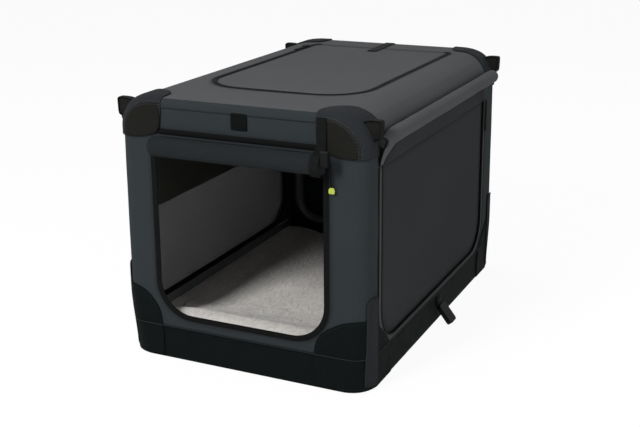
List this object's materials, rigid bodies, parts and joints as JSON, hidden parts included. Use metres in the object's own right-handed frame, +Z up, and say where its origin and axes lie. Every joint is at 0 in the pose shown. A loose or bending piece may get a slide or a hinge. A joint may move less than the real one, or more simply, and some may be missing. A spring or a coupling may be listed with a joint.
{
  "type": "soft folding dog crate",
  "caption": "Soft-sided fabric dog crate on a folding steel tube frame, with rolled-up doors, roof hatch and fleece mat.",
  "frame": {"origin": "centre of the crate's footprint on the floor", "axes": "+Y along the length towards the rear, -Y towards the front doorway, +X the crate's right-hand side in the picture, +Z up"},
  "size_m": [0.4708, 0.6555, 0.4219],
  "materials": {
    "roof_cloth": "matt woven",
    "wall_cloth": "matt woven",
    "mesh_cloth": "open mesh",
    "band_cloth": "matt coated",
    "cap_cloth": "matt coated",
    "patch_cloth": "matt",
    "fleece": "short pile",
    "black_webbing": "woven webbing",
    "board": "matt",
    "black_plastic": "moulded",
    "coated_steel": "satin",
    "bright_steel": "bright",
    "accent_rubber": "matt"
  },
  "bodies": {
    "base": {"base_loop": "coated_steel", "base_tray": "band_cloth", "floor_board": "board", "mat": "fleece", "front_hinge_bar": "black_plastic", "rear_hinge_bar": "black_plastic", "front_wall": "wall_cloth", "rear_wall": "wall_cloth", "left_wall": "wall_cloth", "right_wall": "wall_cloth", "front_left_boot": "band_cloth", "front_right_boot": "band_cloth", "rear_left_boot": "band_cloth", "rear_right_boot": "band_cloth", "left_strap": "black_webbing", "right_strap": "black_webbing"},
    "roof": {"front_bow": "coated_steel", "rear_bow": "coated_steel", "left_rail": "coated_steel", "right_rail": "coated_steel", "front_left_tee": "black_plastic", "front_right_tee": "black_plastic", "rear_left_tee": "black_plastic", "rear_right_tee": "black_plastic", "front_left_dock": "black_plastic", "front_right_dock": "black_plastic", "rear_left_dock": "black_plastic", "rear_right_dock": "black_plastic", "roof_panel": "roof_cloth", "front_left_cap": "cap_cloth", "front_right_cap": "cap_cloth", "rear_left_cap": "cap_cloth", "rear_right_cap": "cap_cloth", "front_roll": "wall_cloth", "right_roll": "roof_cloth", "left_roll": "roof_cloth", "front_left_loop": "black_webbing", "front_right_loop": "black_webbing", "rear_left_loop": "black_webbing", "rear_right_loop": "black_webbing", "roll_strap": "black_webbing", "label_patch": "patch_cloth", "roof_strap": "black_webbing"},
    "front_legs": {"front_leg_frame": "coated_steel"},
    "rear_legs": {"rear_leg_frame": "coated_steel"},
    "front_left_catch": {"front_left_button": "bright_steel"},
    "front_right_catch": {"front_right_button": "bright_steel"},
    "rear_left_catch": {"rear_left_button": "bright_steel"},
    "rear_right_catch": {"rear_right_button": "bright_steel"},
    "hatch": {"hatch_panel": "roof_cloth"},
    "slider": {"hatch_slider": "bright_steel"},
    "hatch_zip_pull": {"hatch_pull": "black_webbing"},
    "front_zip_pull": {"front_pull": "accent_rubber"},
    "side_zip_pull": {"side_pull": "black_webbing"},
    "hook": {"roll_hook": "black_plastic"},
    "right_door": {"right_mesh_door": "mesh_cloth"},
    "left_door": {"left_mesh_door": "mesh_cloth"},
    "back_door": {"rear_door": "mesh_cloth"},
    "right_side_buckle": {"right_buckle": "black_plastic"},
    "left_side_buckle": {"left_buckle": "black_plastic"}
  },
  "joints": [
    {"name": "roof_drop", "type": "slide", "parent": "base", "child": "roof", "axis": [0, 0, -1], "range_m": [0, 0.2418], "deforming": ["front_wall", "rear_wall", "left_wall", "right_wall", "front_left_boot", "front_right_boot", "rear_left_boot", "rear_right_boot", "right_mesh_door", "left_mesh_door", "rear_door"]},
    {"name": "front_legs_fold", "type": "hinge", "parent": "base", "child": "front_legs", "pos_m": [0, -0.2715, 0.055], "axis": [-1, 0, 0], "range_deg": [0, 90]},
    {"name": "rear_legs_fold", "type": "hinge", "parent": "base", "child": "rear_legs", "pos_m": [0, 0.2715, 0.055], "axis": [1, 0, 0], "range_deg": [0, 90]},
    {"name": "front_left_button_press", "type": "slide", "parent": "front_legs", "child": "front_left_catch", "axis": [0, 1, 0], "range_m": [0, 0.0036], "stiffness_N_per_m": 200, "springref_m": -0.001},
    {"name": "front_right_button_press", "type": "slide", "parent": "front_legs", "child": "front_right_catch", "axis": [0, 1, 0], "range_m": [0, 0.0036], "stiffness_N_per_m": 200, "springref_m": -0.001},
    {"name": "rear_left_button_press", "type": "slide", "parent": "rear_legs", "child": "rear_left_catch", "axis": [0, -1, 0], "range_m": [0, 0.0036], "stiffness_N_per_m": 200, "springref_m": -0.001},
    {"name": "rear_right_button_press", "type": "slide", "parent": "rear_legs", "child": "rear_right_catch", "axis": [0, -1, 0], "range_m": [0, 0.0036], "stiffness_N_per_m": 200, "springref_m": -0.001},
    {"name": "hatch_lift", "type": "hinge", "parent": "roof", "child": "hatch", "pos_m": [0, 0.2446, 0.418], "axis": [-1, 0, 0], "range_deg": [0, 110]},
    {"name": "slider_run", "type": "slide", "parent": "roof", "child": "slider", "axis": [0, -1, 0], "range_m": [0, 0.32]},
    {"name": "hatch_pull_swing", "type": "hinge", "parent": "slider", "child": "hatch_zip_pull", "pos_m": [-0.136, 0.1973, 0.4205], "axis": [-1, 0, 0], "range_deg": [0, 100]},
    {"name": "front_pull_swing", "type": "hinge", "parent": "roof", "child": "front_zip_pull", "pos_m": [0.15268, -0.3118, 0.348], "axis": [-1, 0, 0], "range_deg": [0, 60]},
    {"name": "hook_swing", "type": "hinge", "parent": "roof", "child": "hook", "pos_m": [0.15161, -0.33526, 0.37175], "axis": [-1, 0, 0], "range_deg": [0, 90]},
    {"name": "side_pull_swing", "type": "hinge", "parent": "roof", "child": "side_zip_pull", "pos_m": [0.2053, 0.2418, 0.335], "axis": [0, -1, 0], "range_deg": [0, 60]},
    {"name": "right_door_lift", "type": "hinge", "parent": "roof", "child": "right_door", "pos_m": [0.205, 0, 0.3347], "axis": [0, -1, 0], "range_deg": [0, 80]},
    {"name": "left_door_lift", "type": "hinge", "parent": "roof", "child": "left_door", "pos_m": [-0.205, 0, 0.3347], "axis": [0, 1, 0], "range_deg": [0, 80]},
    {"name": "back_door_lift", "type": "hinge", "parent": "roof", "child": "back_door", "pos_m": [0, 0.31, 0.3347], "axis": [1, 0, 0], "range_deg": [0, 80]},
    {"name": "right_buckle_swing", "type": "hinge", "parent": "base", "child": "right_side_buckle", "pos_m": [0.207, 0, 0.02867], "axis": [0, -1, 0], "range_deg": [0, 45]},
    {"name": "left_buckle_swing", "type": "hinge", "parent": "base", "child": "left_side_buckle", "pos_m": [-0.207, 0, 0.02867], "axis": [0, 1, 0], "range_deg": [0, 45]}
  ],
  "couplings": [
    {"joint": "front_legs_fold", "follows": "roof_drop", "rad_per_m": 6.496},
    {"joint": "rear_legs_fold", "follows": "roof_drop", "rad_per_m": 6.496}
  ]
}
